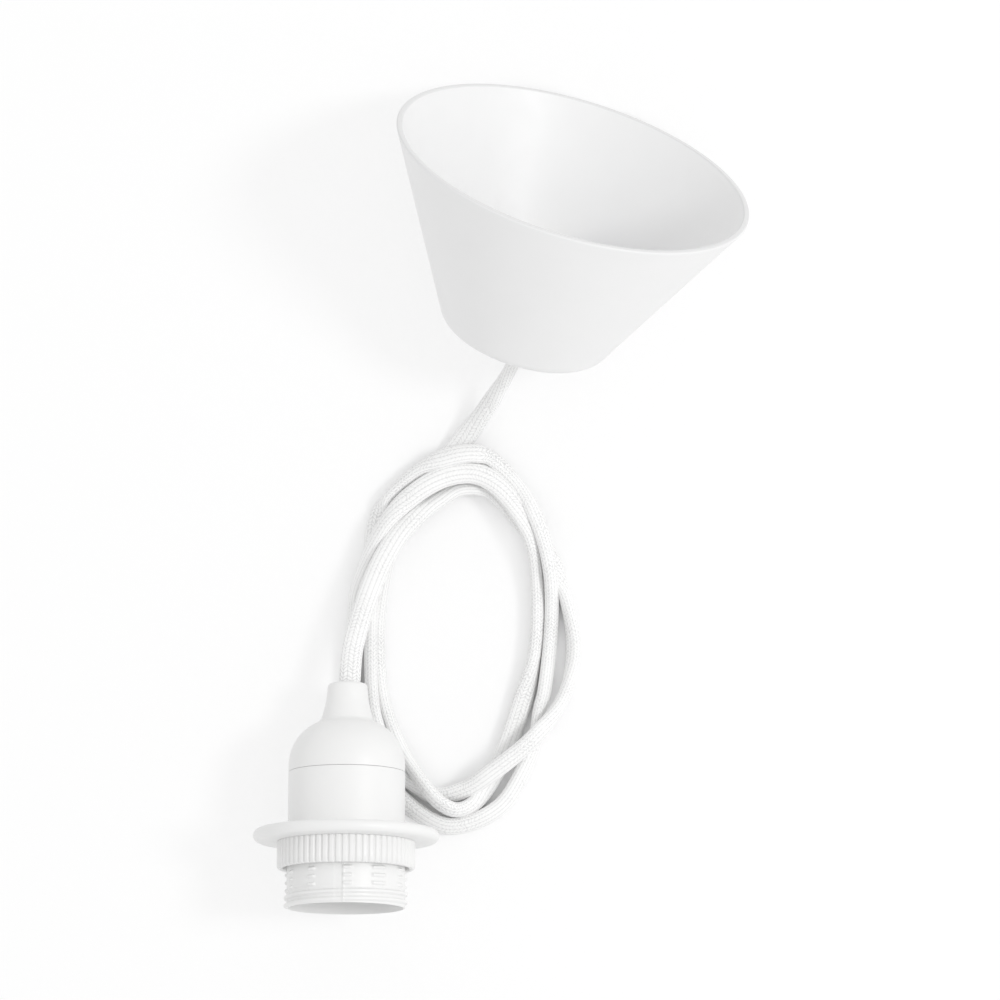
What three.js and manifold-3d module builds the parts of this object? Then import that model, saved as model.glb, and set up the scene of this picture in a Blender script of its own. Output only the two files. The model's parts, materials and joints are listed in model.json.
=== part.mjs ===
// A pendant cord set as it lies on a table: a cone-shaped ceiling cup on its side, a flat textile cord in a
// loose coil of three turns, and a screw lamp holder with a shade ring.
// Millimetres, +Z up, the table is z = 0. +Y runs from the holder's mouth towards the cup's rim.
import * as THREE from "three";
import { mergeVertices } from "three/addons/utils/BufferGeometryUtils.js";
import Module from "manifold-3d";

// Clearances
const SEAT = 0.3; // between pieces that touch
const RUN = 0.3; // between the shade ring and the thread that it slides over

const SCREW_SLOT = 0.5; // width of every screw's slot

// Ceiling cup
const CUP_RIM_RADIUS = 58.2;
const CUP_END_RADIUS = 26.25;
const CUP_HEIGHT = 62.2;
const CUP_WALL = 1.8;
const CUP_CORNER = 7;
const CUP_RIM_ROUND = 0.45;
const CUP_END_AT = [7.2, 52.4]; // centre of the small end, seen from above
const CUP_HEADING = 72.7; // where the rim points on the table, in degrees from +X

// Cord, a flat twin lead with a textile braid
const CORD_WIDTH = 7.1;
const CORD_THICKNESS = 4.4;
const CORE_RADIUS = 1.1;
const CORE_PITCH = 2.8;

// Bush in the cup's small end
const BUSH_NECK_RADIUS = 5.4;
const BUSH_LIP_RADIUS = 7.2;
const BUSH_LIP = 1.3;
const BUSH_LENGTH = 8;

// Suspension hook
const HOOK_FROM = 10; // from the small end, along the cup's axis
const HOOK_THICKNESS = 4;
const HOOK_BODY_WIDTH = 17;
const HOOK_BODY_LENGTH = 9.5;
const HOOK_RADIUS = 6.6; // of the hook's middle line
const HOOK_BAR = 3.2;
const HOOK_STEM = 1.2;
const HOOK_GAP = 60; // degrees of the loop that stay open
const HOOK_FOOT = 60; // degrees below its middle where the loop meets its stem
const CLAMP_PLATE = 2.2;
const CLAMP_PLATE_LENGTH = 7.5;
const CLAMP_SCREW_RADIUS = 1.2;
const CLAMP_SCREW_HEAD = 2.2;
const CLAMP_SCREW_HEAD_HEIGHT = 1.4;
const CLAMP_SCREW_TIP = 1; // how far the screw's tip stays inside the hook
const CORD_END_INSET = 1; // from the hook body's top to the end of the cord's sheath

// Terminal block
const BLOCK_LENGTH = 16;
const BLOCK_POLE_PITCH = 8.5;
const BLOCK_FLOOR_TO_BORE = 4.6;
const BLOCK_TOP = 10.4;
const BLOCK_FROM_END = 4.5;
const TUBE_RADIUS = 2.3;
const TUBE_BORE = 1.5;
const TUBE_LENGTH = 12;
const TUBE_INSET = 4; // how far a core reaches into the block
const TERMINAL_SCREW_RADIUS = 1;
const TERMINAL_SCREW_LENGTH = 1.6;
const TERMINAL_SCREW_HEAD = 1.7;
const TERMINAL_SCREW_HEAD_HEIGHT = 2;
const TERMINAL_SCREW_SPACING = 6.4;

// Lamp holder, measured along its axis from the mouth
const HOLDER_MOUTH_AT = [-49.3, -131.6];
const HOLDER_TILT = 12.4; // the flange lifts the mouth by this many degrees
const SKIRT_RADIUS = 19;
const SKIRT_BORE = 17;
const THREAD_DEPTH = 0.9;
const THREAD_PITCH = 2.5;
const THREAD_FROM = 0.3;
const THREAD_START = 1.2; // height of the helix at its start
const THREAD_TURNS = 2;
const FLANGE_AT = 21.3;
const FLANGE_THICKNESS = 3.9;
const FLANGE_RADIUS = 30;
const FLANGE_RIM_FLAT = 0.1; // left between the two round edges
const BODY_FILLET = 1.2;
const BODY_RADIUS = 18.85;
const BODY_BORE = 15.6;
const BODY_TOP = 43.8;
const SPIGOT_LENGTH = 4.5;
const SPIGOT_WALL = 1.4;
const LEDGE_AT = 30;
const LEDGE_THICKNESS = 2;
const LEDGE_BORE = 14.4;
const CAP_WALL = 1.5;
const CAP_DOME_RADIUS = 15;
const CAP_DOME_CORNER = 56.1; // where the lines that the dome's arc touches meet
const CAP_SHOULDER_AT = 59.9;
const CAP_SHOULDER_RADIUS = 9.9;
const NECK_FOOT_AT = 61;
const NECK_FOOT_RADIUS = 8.5;
const NECK_WAIST_AT = 66.9;
const NECK_WAIST_RADIUS = 6.9;
const NECK_WAIST_ROUND = 12;
const NECK_TOP_AT = 73;
const NECK_TOP_RADIUS = 6.3;
const NECK_TOP_ROUND = 1.3;
const NECK_BORE_ROUND = 1.2;
const GRIP_RADIUS = 6.6;
const GRIP_FROM = 52;
const GRIP_LENGTH = 10;
const GRIP_SCREW_FROM = 3; // from the grip's lower end to its screw
const GRIP_SCREW_RADIUS = 1.3;
const GRIP_SCREW_LENGTH = 5.4;
const GRIP_SCREW_HEAD = 2.3;
const GRIP_SCREW_HEAD_HEIGHT = 1.4;
const GRIP_OVERHANG = 1; // how far the cord's sheath reaches past the grip
const NECK_ENTRY = 4; // from the neck's top to where the cord runs straight

// Shade ring
const RING_HEIGHT = 8.7;
const RING_RADIUS = 22.25;
const RING_RIBS = 64;
const RIB_DEPTH = 0.6;
const RIB_FLOOR = 0.05; // half of a groove's floor, as a share of the ribs' pitch
const RIB_FLANK = 0.25; // a groove's slanted side, as a share of the ribs' pitch

// Contacts
const SHELL_BORE = 12.3;
const SHELL_DEPTH = 1;
const SHELL_WALL = 0.5;
const SHELL_PITCH = 3.63;
const SHELL_FROM = 9;
const SHELL_TURNS = 4;
const SHELL_LIP = 5.5;
const INSERT_HEIGHT = 9.5;
const INSERT_BEVEL = 1;
const STRIP = 0.8;
const STRIP_WIDTH = 6;
const STRIP_FOOT = 3.4; // how far a foot reaches past its screw
const TONGUE_DROP = 3.4; // of the centre contact's tip under the insert
const TONGUE_RISE = 1.6;
const TONGUE_REACH = 3.8; // past the axis
const CENTRE_STRIP_X = 4.5;
const SIDE_STRIP_X = -12.6;
const CONTACT_SCREW_AT = 8.7;
const CONTACT_SCREW_RADIUS = 1.3;
const CONTACT_SCREW_HEAD = 2.5;
const CONTACT_SCREW_HEAD_HEIGHT = 1.8;
const CONTACT_SCREW_LENGTH = 6;
const PILOT_DEPTH = 7;

// Core wires: bends are [sideways, along, up]. In the cup they are counted from the lead's end.
const CUP_CORE_LEAD = 5; // beyond the sheath's end
const CUP_LIVE_BENDS = [
  [1, 0, 0],
  [8.5, 1.5, -4.5],
  [13.2, -0.5, -13],
];
const CUP_NEUTRAL_BENDS = [
  [-2.8, 1, 1],
  [5, 7, -2],
  [12.5, 7.5, -12],
];
const CUP_CORE_DROP = [12.8, 0.5, 3.5]; // from its bore in the block
const CUP_CORE_RUN_IN = 9;
const HOLDER_CORE_LEAD = [0.4, 0.5, -2.5]; // from the sheath's end
const HOLDER_CORE_DROP = [3.5, 2.2, 2.6]; // from where the core lies beside its screw
const HOLDER_CORE_RUN = 1.5; // to either side of the screw

// The cord's middle line on the table, from the ceiling cup round the coil to the lamp holder: x, y, z and
// the roll in degrees, 0 where the cord lies flat and 90 where it stands on edge.
const ROUTE = [
  [4.8, 44.4, 18.8, 90],
  [-4.4, 29.2, 8.6, 40],
  [-14.3, 16.2, 2.7, 0],
  [-30.1, -1.9, 2.9, 10],
  [-36.8, -20.4, 3.6, 80],
  [-39.8, -45.0, 3.9, 90],
  [-38.0, -66.4, 3.9, 90],
  [-32.7, -81.2, 4.9, 90],
  [-23.7, -94.6, 9.9, 70],
  [-19.1, -99.2, 10.1, 70],
  [-12.6, -102.7, 6.9, 90],
  [-8.7, -101.7, 4.7, 90],
  [-1.8, -94.1, 3.9, 90],
  [0.9, -86.2, 3.9, 90],
  [7.8, -67.4, 3.9, 90],
  [11.8, -50.6, 3.9, 90],
  [12.8, -28.2, 4.7, 90],
  [10.5, -13.7, 8.7, 70],
  [3.1, 0.4, 9.5, 40],
  [-6.4, 7.6, 8.9, 35],
  [-16.8, 7.4, 8.9, 35],
  [-28.3, 1.0, 9.1, 35],
  [-38.0, -9.4, 9.3, 60],
  [-46.7, -30.2, 4.9, 90],
  [-47.7, -38.5, 3.9, 90],
  [-48.2, -58.2, 3.9, 90],
  [-45.6, -78.0, 2.9, 30],
  [-42.3, -86.8, 2.7, 10],
  [-37.3, -94.7, 2.9, 30],
  [-16.9, -108.4, 3.9, 90],
  [-0.1, -102.3, 3.9, 90],
  [8.1, -90.5, 3.9, 90],
  [12.4, -77.3, 3.9, 90],
  [13.4, -69.4, 3.9, 90],
  [14.9, -63.1, 3.9, 90],
  [17.2, -35.5, 4.5, 90],
  [16.2, -20.9, 9.3, 70],
  [12.0, -6.2, 9.3, 60],
  [5.5, 4.7, 5.9, 70],
  [-3.4, 13.5, 5.9, 60],
  [-8.0, 15.0, 8.7, 40],
  [-17.2, 13.7, 8.7, 40],
  [-27.1, 8.8, 4.9, 75],
  [-36.3, 0.1, 3.9, 90],
  [-39.3, -5.2, 3.1, 40],
  [-40.8, -12.1, 2.8, 20],
  [-41.1, -20.4, 3.7, 50],
  [-41.8, -33.4, 6.9, 90],
  [-42.1, -46.5, 8.1, 90],
  [-40.8, -71.2, 7.5, 90],
  [-33.0, -89.5, 3.9, 80],
  [-26.8, -95.5, 3.2, 60],
  [-20.2, -97.9, 3.2, 60],
  [-11.0, -95.3, 4.7, 70],
  [-2.1, -89.6, 9.1, 50],
  [11.7, -77.9, 10.5, 50],
  [20.9, -65.7, 5.1, 80],
  [24.2, -50.0, 3.9, 90],
  [21.8, -32.9, 3.9, 80],
  [16.3, -19.7, 2.9, 20],
  [9.1, -9.0, 2.9, 10],
  [-4.1, 2.7, 3.9, 60],
  [-12.6, 3.3, 4.3, 60],
  [-20.8, -0.8, 5.7, 40],
  [-29.6, -8.3, 9.7, 20],
  [-37.5, -19.2, 13.0, 0],
  [-47.4, -46.9, 16.0, 0],
  [-48.7, -60.0, 19.6, 0],
];
const COIL_FIRST = 2; // the points where the coil begins and ends
const COIL_LAST = 65;
const COIL_STRETCHES = 6; // the coil is joined from this many tubes
const LAP = 1; // of one stretch into the next
const STEP_LENGTH = 12; // between the tube's rings

// Colours
const satinWhite = { color: 0xf1f1ef, roughness: 0.38, metalness: 0 };
const mouldedWhite = { color: 0xeeeeec, roughness: 0.45, metalness: 0 };
const innerWhite = { color: 0xe2e0da, roughness: 0.6, metalness: 0 };
const textileWhite = { color: 0xf0f0ee, roughness: 0.9, metalness: 0 };
const brass = { color: 0xc9a04f, roughness: 0.3, metalness: 1 };
const zinc = { color: 0xb9bcc0, roughness: 0.35, metalness: 1 };
const brownCore = { color: 0x6a3f24, roughness: 0.5, metalness: 0 };
const blueCore = { color: 0x2c5fa8, roughness: 0.5, metalness: 0 };

const manifold = await Module();
manifold.setup();

const set = new THREE.Group();
const radians = THREE.MathUtils.degToRad;

function piece(name, geometry, look, parent) {
  const mesh = new THREE.Mesh(geometry, new THREE.MeshStandardMaterial(look));
  mesh.name = name;
  parent.add(mesh);
  return mesh;
}

// A group whose +z lies over the table in a heading, raised by an angle. Its +y faces the table.
function leaning([x, y], z, heading, raised) {
  const standing = new THREE.Group();
  standing.position.set(x, y, z);
  standing.rotation.z = radians(heading - 90);
  const leaned = new THREE.Group();
  leaned.rotation.x = radians(raised - 90);
  standing.add(leaned);
  set.add(standing);
  return { standing, leaned };
}

// Corners are [x, y] or [x, y, radius]. A radius turns the corner into an arc.
function outline(corners, arcSteps = 5) {
  const points = [];
  corners.forEach(([x, y, radius], i) => {
    const here = new THREE.Vector2(x, y);
    if (!radius) {
      points.push(here);
      return;
    }
    const [before, after] = [corners.at(i - 1), corners[(i + 1) % corners.length]].map(
      ([bx, by]) => new THREE.Vector2(bx, by).sub(here).normalize(),
    );
    const half = Math.acos(THREE.MathUtils.clamp(before.dot(after), -1, 1)) / 2;
    const centre = before.clone().add(after).setLength(radius / Math.sin(half)).add(here);
    const start = before.multiplyScalar(radius / Math.tan(half)).add(here).sub(centre);
    const end = after.multiplyScalar(radius / Math.tan(half)).add(here).sub(centre);
    const turn = Math.atan2(start.cross(end), start.dot(end));
    for (let k = 0; k <= arcSteps; k += 1) {
      points.push(start.clone().rotateAround(new THREE.Vector2(), (turn * k) / arcSteps).add(centre));
    }
  });
  return points;
}

// A turned piece about +z from its [radius, height] corners. A ring's profile closes on itself.
function turned(corners, sides, arcSteps) {
  const points = outline(corners, arcSteps);
  if (points[0].x > 0) points.push(points[0].clone());
  return new THREE.LatheGeometry(points, sides).rotateX(Math.PI / 2);
}

// A flat shape in the x, z plane, thick along y from y = from.
function plate(shape, thickness, from, curveSegments = 6) {
  return new THREE.ExtrudeGeometry(shape, { depth: thickness, bevelEnabled: false, curveSegments })
    .rotateX(Math.PI / 2)
    .translate(0, from + thickness, 0);
}

function drill(radius, length, sides = 12) {
  return new THREE.CylinderGeometry(radius, radius, length, sides).rotateX(Math.PI / 2);
}

function solid(geometry) {
  const bare = geometry.index ? geometry.toNonIndexed() : geometry.clone();
  bare.deleteAttribute("normal");
  bare.deleteAttribute("uv");
  const merged = mergeVertices(bare, 1e-4);
  return new manifold.Manifold(
    new manifold.Mesh({
      numProp: 3,
      vertProperties: merged.getAttribute("position").array,
      triVerts: new Uint32Array(merged.index.array),
    }),
  );
}

function meshed(made) {
  const { vertProperties, triVerts } = made.getMesh();
  return new THREE.BufferGeometry()
    .setAttribute("position", new THREE.BufferAttribute(vertProperties, 3))
    .setIndex(new THREE.BufferAttribute(triVerts, 1));
}

function cut(geometry, ...tools) {
  return meshed(tools.reduce((left, tool) => left.subtract(solid(tool)), solid(geometry)));
}

function join(...geometries) {
  return meshed(geometries.map(solid).reduce((all, next) => all.add(next)));
}

// A slotted screw about +z, its tip at z = 0.
function screw(radius, length, headRadius, headHeight) {
  const body = turned(
    [
      [0, 0],
      [radius, 0],
      [radius, length],
      [headRadius, length],
      [headRadius, length + headHeight],
      [0, length + headHeight],
    ],
    12,
  );
  const slot = new THREE.BoxGeometry(3 * headRadius, SCREW_SLOT, headHeight);
  return cut(body, slot.translate(0, 0, length + headHeight));
}

// Moves the points of a turned piece outwards so that they follow a helix, which runs out at its top.
function threaded(geometry, { pitch, depth, start, to, belongs }) {
  const place = geometry.getAttribute("position");
  for (let i = 0; i < place.count; i += 1) {
    const [x, y, z] = [place.getX(i), place.getY(i), place.getZ(i)];
    const radius = Math.hypot(x, y);
    if (z > 0 && z < to && belongs(radius)) {
      const wave = (1 + Math.sin((2 * Math.PI * (z - start)) / pitch - Math.atan2(y, x))) / 2;
      const fade = Math.min(1, (to - z) / pitch);
      const scale = 1 + (depth * fade * wave) / radius;
      place.setXY(i, x * scale, y * scale);
    }
  }
  return geometry;
}

// Heights that a turned profile needs along a thread.
function rows(from, to, pitch, perTurn = 4) {
  const count = Math.round(((to - from) / pitch) * perTurn);
  return Array.from({ length: count + 1 }, (_, i) => from + ((to - from) * i) / count);
}

// A core wire through hand-set points.
function wire(points) {
  const path = new THREE.CatmullRomCurve3(points.map((p) => new THREE.Vector3(...p)));
  const section = new THREE.Shape().absarc(0, 0, CORE_RADIUS, 0, 2 * Math.PI);
  return new THREE.ExtrudeGeometry(section, { steps: 12, extrudePath: path, curveSegments: 4 });
}

// Ceiling cup on its side: it lies along its cone, so its axis rises by the cone's half angle.
const cupSlope = Math.atan2(CUP_RIM_RADIUS - CUP_END_RADIUS, CUP_HEIGHT);
const cupEndHeight = CUP_END_RADIUS * Math.cos(cupSlope);
const cup = leaning(CUP_END_AT, cupEndHeight, CUP_HEADING, THREE.MathUtils.radToDeg(cupSlope));

function ceilingCup() {
  const wallAcross = CUP_WALL / Math.cos(cupSlope);
  const innerEnd = CUP_END_RADIUS + CUP_WALL * Math.tan(cupSlope) - wallAcross;
  const hole = BUSH_NECK_RADIUS + SEAT;
  const profile = [
    [hole, 0],
    [CUP_END_RADIUS, 0, CUP_CORNER],
    [CUP_RIM_RADIUS, CUP_HEIGHT, CUP_RIM_ROUND],
    [CUP_RIM_RADIUS - wallAcross, CUP_HEIGHT, CUP_RIM_ROUND],
    [innerEnd, CUP_WALL, CUP_CORNER - CUP_WALL],
    [hole, CUP_WALL],
  ];
  piece("ceiling_cup", turned(profile, 64, 2), satinWhite, cup.leaned);
}

function cupBush() {
  const bore = CORD_WIDTH / 2 + SEAT;
  const innerFace = CUP_WALL + SEAT;
  const profile = [
    [bore, -SEAT - BUSH_LIP],
    [BUSH_LIP_RADIUS, -SEAT - BUSH_LIP, BUSH_LIP / 2],
    [BUSH_LIP_RADIUS, -SEAT],
    [BUSH_NECK_RADIUS, -SEAT],
    [BUSH_NECK_RADIUS, innerFace],
    [BUSH_LIP_RADIUS, innerFace],
    [BUSH_NECK_RADIUS, BUSH_LENGTH],
    [bore, BUSH_LENGTH],
  ];
  piece("cup_bush", turned(profile, 20, 2), innerWhite, cup.leaned);
}

// Hook and clamp plate hold the flat cord between them, and the cord's end shows behind the plate.
const hookFace = -CORD_THICKNESS / 2 - SEAT;
const plateFace = CORD_THICKNESS / 2 + SEAT;
const clampScrewX = (CORD_WIDTH / 2 + HOOK_BODY_WIDTH / 2) / 2;
const hookMiddle = HOOK_FROM + HOOK_BODY_LENGTH / 2;
const cordEnd = HOOK_FROM + HOOK_BODY_LENGTH - CORD_END_INSET;

function suspensionHook() {
  const shape = new THREE.Shape();
  const half = HOOK_BODY_WIDTH / 2;
  const top = HOOK_FROM + HOOK_BODY_LENGTH;
  const outer = HOOK_RADIUS + HOOK_BAR / 2;
  const inner = HOOK_RADIUS - HOOK_BAR / 2;
  const centre = top + HOOK_STEM + outer;
  const gap = HOOK_GAP / 2;
  shape.moveTo(-half, HOOK_FROM);
  shape.lineTo(half, HOOK_FROM);
  shape.lineTo(half, top);
  shape.absarc(0, centre, outer, radians(-HOOK_FOOT), radians(-gap), false);
  shape.absarc(0, centre, inner, radians(-gap), radians(gap - 360), true);
  shape.absarc(0, centre, outer, radians(gap), radians(180 + HOOK_FOOT), false);
  shape.lineTo(-half, top);
  const body = plate(shape, HOOK_THICKNESS, hookFace - HOOK_THICKNESS);
  const holes = [-1, 1].map((side) =>
    drill(CLAMP_SCREW_RADIUS + SEAT, 3 * HOOK_THICKNESS)
      .rotateX(Math.PI / 2)
      .translate(side * clampScrewX, hookFace, hookMiddle),
  );
  piece("suspension_hook", cut(body, ...holes), mouldedWhite, cup.leaned);
}

function hookClamp() {
  const plateBox = new THREE.BoxGeometry(HOOK_BODY_WIDTH, CLAMP_PLATE, CLAMP_PLATE_LENGTH);
  plateBox.translate(0, plateFace + CLAMP_PLATE / 2, hookMiddle);
  const holes = [-1, 1].map((side) =>
    drill(CLAMP_SCREW_RADIUS + SEAT, 3 * CLAMP_PLATE)
      .rotateX(Math.PI / 2)
      .translate(side * clampScrewX, plateFace, hookMiddle),
  );
  piece("hook_clamp_plate", cut(plateBox, ...holes), mouldedWhite, cup.leaned);
  const length = plateFace + CLAMP_PLATE + SEAT - hookFace + HOOK_THICKNESS - CLAMP_SCREW_TIP;
  [-1, 1].forEach((side, i) => {
    const made = piece(
      `hook_clamp_screw_${i + 1}`,
      screw(CLAMP_SCREW_RADIUS, length, CLAMP_SCREW_HEAD, CLAMP_SCREW_HEAD_HEIGHT),
      zinc,
      cup.leaned,
    );
    made.rotation.x = -Math.PI / 2;
    made.position.set(side * clampScrewX, plateFace + CLAMP_PLATE + SEAT - length, hookMiddle);
  });
}

// Terminal block: it lies on the cup's wall, its poles side by side along the cup's heading.
const wallSag = CUP_END_RADIUS - Math.sqrt(CUP_END_RADIUS ** 2 - (BLOCK_LENGTH / 2) ** 2);
const blockBottom = CUP_WALL + wallSag + SEAT - cupEndHeight;
const blockStart = CUP_END_RADIUS * Math.sin(cupSlope) + BLOCK_FROM_END;
const poleY = [0.5, 1.5].map((pole) => blockStart + pole * BLOCK_POLE_PITCH);
const boreZ = blockBottom + BLOCK_FLOOR_TO_BORE;
const terminalScrewX = [-1, 1].map((side) => (side * TERMINAL_SCREW_SPACING) / 2);

function terminalBlock() {
  const radius = BLOCK_POLE_PITCH / 2;
  const shoulder = BLOCK_TOP - radius;
  const shape = new THREE.Shape();
  shape.moveTo(0, 0);
  shape.lineTo(2 * BLOCK_POLE_PITCH, 0);
  shape.lineTo(2 * BLOCK_POLE_PITCH, shoulder);
  shape.absarc(3 * radius, shoulder, radius, 0, Math.PI, false);
  shape.absarc(radius, shoulder, radius, 0, Math.PI, false);
  const body = new THREE.ExtrudeGeometry(shape, { depth: BLOCK_LENGTH, bevelEnabled: false, curveSegments: 5 })
    .rotateX(Math.PI / 2)
    .rotateZ(Math.PI / 2)
    .translate(-BLOCK_LENGTH / 2, blockStart, blockBottom);
  const tools = [];
  poleY.forEach((y) => {
    const bore = new THREE.CylinderGeometry(TUBE_RADIUS + SEAT, TUBE_RADIUS + SEAT, 2 * BLOCK_LENGTH, 16);
    tools.push(bore.rotateZ(Math.PI / 2).translate(0, y, boreZ));
    terminalScrewX.forEach((x) => {
      tools.push(drill(TERMINAL_SCREW_HEAD + SEAT, BLOCK_TOP).translate(x, y, boreZ + BLOCK_TOP / 2));
    });
  });
  piece("terminal_block", cut(body, ...tools), innerWhite, cup.standing);
}

function terminals() {
  poleY.forEach((y, pole) => {
    const tube = new THREE.Shape().absarc(0, 0, TUBE_RADIUS, 0, 2 * Math.PI);
    tube.holes.push(new THREE.Path().absarc(0, 0, TUBE_BORE, 0, 2 * Math.PI));
    const body = new THREE.ExtrudeGeometry(tube, { depth: TUBE_LENGTH, bevelEnabled: false, curveSegments: 7 })
      .rotateY(Math.PI / 2)
      .translate(-TUBE_LENGTH / 2, y, boreZ);
    const holes = terminalScrewX.map((x) =>
      drill(TERMINAL_SCREW_RADIUS + SEAT, 2 * TUBE_RADIUS).translate(x, y, boreZ + TUBE_RADIUS),
    );
    piece(`terminal_tube_${pole + 1}`, cut(body, ...holes), brass, cup.standing);
    terminalScrewX.forEach((x, i) => {
      const made = piece(
        `terminal_screw_${2 * pole + i + 1}`,
        screw(TERMINAL_SCREW_RADIUS, TERMINAL_SCREW_LENGTH, TERMINAL_SCREW_HEAD, TERMINAL_SCREW_HEAD_HEIGHT),
        zinc,
        cup.standing,
      );
      made.position.set(x, y, boreZ + CORE_RADIUS + SEAT);
    });
  });
}

// Core wires from the cord's end to the near side of the terminal block.
function cupCores() {
  const along = (distance) => [
    distance * Math.cos(cupSlope),
    distance * Math.sin(cupSlope),
  ];
  const [startY, startZ] = along(cordEnd + SEAT);
  const [leadY, leadZ] = along(cordEnd + CUP_CORE_LEAD);
  const [dropX, dropY, dropZ] = CUP_CORE_DROP;
  const half = CORE_PITCH / 2;
  const entry = BLOCK_LENGTH / 2 - TUBE_INSET;
  const route = (side, bends, pole) => [
    [side * half, startY, startZ],
    ...bends.map(([x, y, z]) => [half + x, leadY + y, leadZ + z]),
    [half + dropX, poleY[pole] + dropY, boreZ + dropZ],
    [half + CUP_CORE_RUN_IN, poleY[pole], boreZ],
    [entry, poleY[pole], boreZ],
  ];
  piece("cup_core_live", wire(route(1, CUP_LIVE_BENDS, 0)), brownCore, cup.standing);
  piece("cup_core_neutral", wire(route(-1, CUP_NEUTRAL_BENDS, 1)), blueCore, cup.standing);
}

// Lamp holder on its side: the flange's rounded edge stands on the table and the mouth points up a little.
const tilt = radians(HOLDER_TILT);
const flangeRound = (FLANGE_THICKNESS - FLANGE_RIM_FLAT) / 2;
const mouthHeight =
  flangeRound +
  (FLANGE_RADIUS - flangeRound) * Math.cos(tilt) +
  (FLANGE_AT + FLANGE_THICKNESS - flangeRound) * Math.sin(tilt);
const holder = leaning(HOLDER_MOUTH_AT, mouthHeight, 90, -HOLDER_TILT).leaned;
const skirtCrest = SKIRT_RADIUS + THREAD_DEPTH;
const capBore = BODY_RADIUS - CAP_WALL;
const spigotRadius = capBore - SEAT;
const cordBore = CORD_WIDTH / 2 + SEAT;

function holderBody() {
  const threadTo = THREAD_FROM + THREAD_TURNS * THREAD_PITCH;
  const spigotTop = BODY_TOP + SPIGOT_LENGTH;
  const profile = [
    [SKIRT_BORE, 0],
    [SKIRT_RADIUS, 0],
    ...rows(THREAD_FROM, threadTo, THREAD_PITCH).map((z) => [SKIRT_RADIUS, z]),
    [SKIRT_RADIUS, FLANGE_AT],
    [RING_RADIUS + SEAT, FLANGE_AT], // a lampshade lies on the flat beyond the ring
    [FLANGE_RADIUS, FLANGE_AT, flangeRound],
    [FLANGE_RADIUS, FLANGE_AT + FLANGE_THICKNESS, flangeRound],
    [BODY_RADIUS, FLANGE_AT + FLANGE_THICKNESS, BODY_FILLET],
    [BODY_RADIUS, BODY_TOP],
    [spigotRadius, BODY_TOP],
    [spigotRadius, spigotTop],
    [spigotRadius - SPIGOT_WALL, spigotTop],
    [BODY_BORE, BODY_TOP],
    [BODY_BORE, LEDGE_AT],
    [LEDGE_BORE, LEDGE_AT],
    [LEDGE_BORE, LEDGE_AT - LEDGE_THICKNESS],
    [SKIRT_BORE, LEDGE_AT - 2 * LEDGE_THICKNESS],
  ];
  const body = threaded(turned(profile, 44, 3), {
    pitch: THREAD_PITCH,
    depth: THREAD_DEPTH,
    start: THREAD_START,
    to: threadTo,
    belongs: (radius) => radius > (SKIRT_RADIUS + SKIRT_BORE) / 2,
  });
  piece("holder_body", body, mouldedWhite, holder);
}

// The ring screws up the skirt against the flange and clamps a lampshade there.
function shadeRing() {
  const shape = new THREE.Shape();
  const points = [];
  for (let rib = 0; rib < RING_RIBS; rib += 1) {
    [
      [RIB_FLOOR, -RIB_DEPTH],
      [RIB_FLOOR + RIB_FLANK, 0],
      [1 - RIB_FLOOR - RIB_FLANK, 0],
      [1 - RIB_FLOOR, -RIB_DEPTH],
    ].forEach(([share, step]) => {
      const angle = (2 * Math.PI * (rib + share)) / RING_RIBS;
      const radius = RING_RADIUS + step;
      points.push(new THREE.Vector2(radius * Math.cos(angle), radius * Math.sin(angle)));
    });
  }
  shape.setFromPoints(points);
  shape.holes.push(new THREE.Path().absarc(0, 0, skirtCrest + RUN, 0, 2 * Math.PI));
  const ring = new THREE.ExtrudeGeometry(shape, { depth: RING_HEIGHT, bevelEnabled: false, curveSegments: 24 });
  const made = piece("shade_ring", ring, mouldedWhite, holder);
  made.position.z = FLANGE_AT - SEAT - RING_HEIGHT;
}

function holderCap() {
  const bottom = BODY_TOP + SEAT;
  const socket = GRIP_RADIUS + SEAT;
  const gripTop = GRIP_FROM + GRIP_LENGTH + SEAT;
  const profile = [
    [capBore, bottom],
    [BODY_RADIUS, bottom],
    [BODY_RADIUS, CAP_DOME_CORNER, CAP_DOME_RADIUS],
    [CAP_SHOULDER_RADIUS, CAP_SHOULDER_AT],
    [NECK_FOOT_RADIUS, NECK_FOOT_AT],
    [NECK_WAIST_RADIUS, NECK_WAIST_AT, NECK_WAIST_ROUND],
    [NECK_TOP_RADIUS, NECK_TOP_AT, NECK_TOP_ROUND],
    [cordBore, NECK_TOP_AT, NECK_BORE_ROUND],
    [cordBore, gripTop],
    [socket, gripTop],
    [socket, CAP_SHOULDER_AT - CAP_WALL],
    [CAP_SHOULDER_RADIUS, CAP_SHOULDER_AT - CAP_WALL],
    [capBore, CAP_DOME_CORNER - CAP_WALL, CAP_DOME_RADIUS - 2 * CAP_WALL],
  ];
  piece("holder_cap", turned(profile, 40, 3), mouldedWhite, holder);
}

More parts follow.
